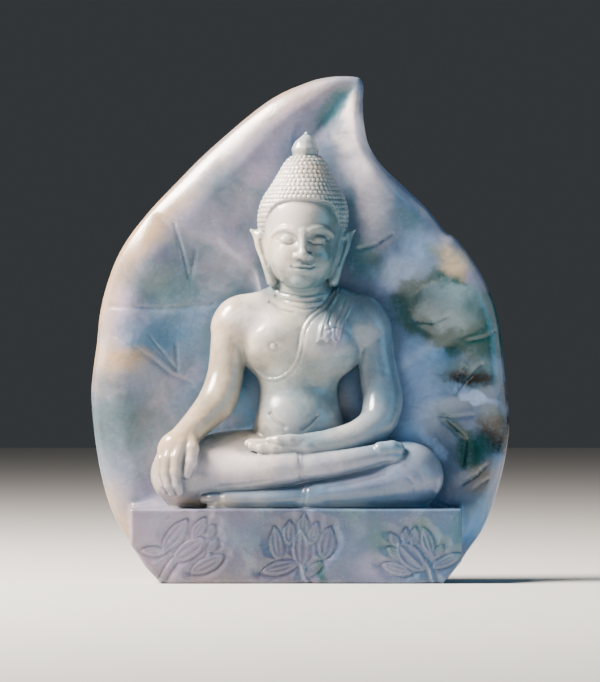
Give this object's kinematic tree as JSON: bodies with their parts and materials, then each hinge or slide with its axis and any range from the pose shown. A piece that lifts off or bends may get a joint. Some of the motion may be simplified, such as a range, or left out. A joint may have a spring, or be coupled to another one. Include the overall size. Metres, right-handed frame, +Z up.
{
  "type": "jade figurine",
  "caption": "Free-standing stone carving of a seated robed figure in high relief on a flame-shaped slab with an engraved plinth below.",
  "frame": {"origin": "centre of the object's box on the flat base that it stands on", "axes": "+Z up, -Y the way the figure faces, +X to the right as seen from the front"},
  "size_m": [0.1498, 0.046, 0.1801],
  "materials": {
    "veined_jade": "polished",
    "plinth_jade": "polished",
    "figure_jade": "polished"
  },
  "bodies": {
    "root": {"backing_slab": "veined_jade", "plinth": "plinth_jade", "torso": "figure_jade", "head": "figure_jade", "hair": "figure_jade", "hair_finial": "figure_jade", "right_arm": "figure_jade", "left_arm": "figure_jade", "right_leg": "figure_jade", "left_leg": "figure_jade", "right_foot": "figure_jade", "left_foot": "figure_jade", "shoulder_sash": "figure_jade"}
  },
  "joints": []
}
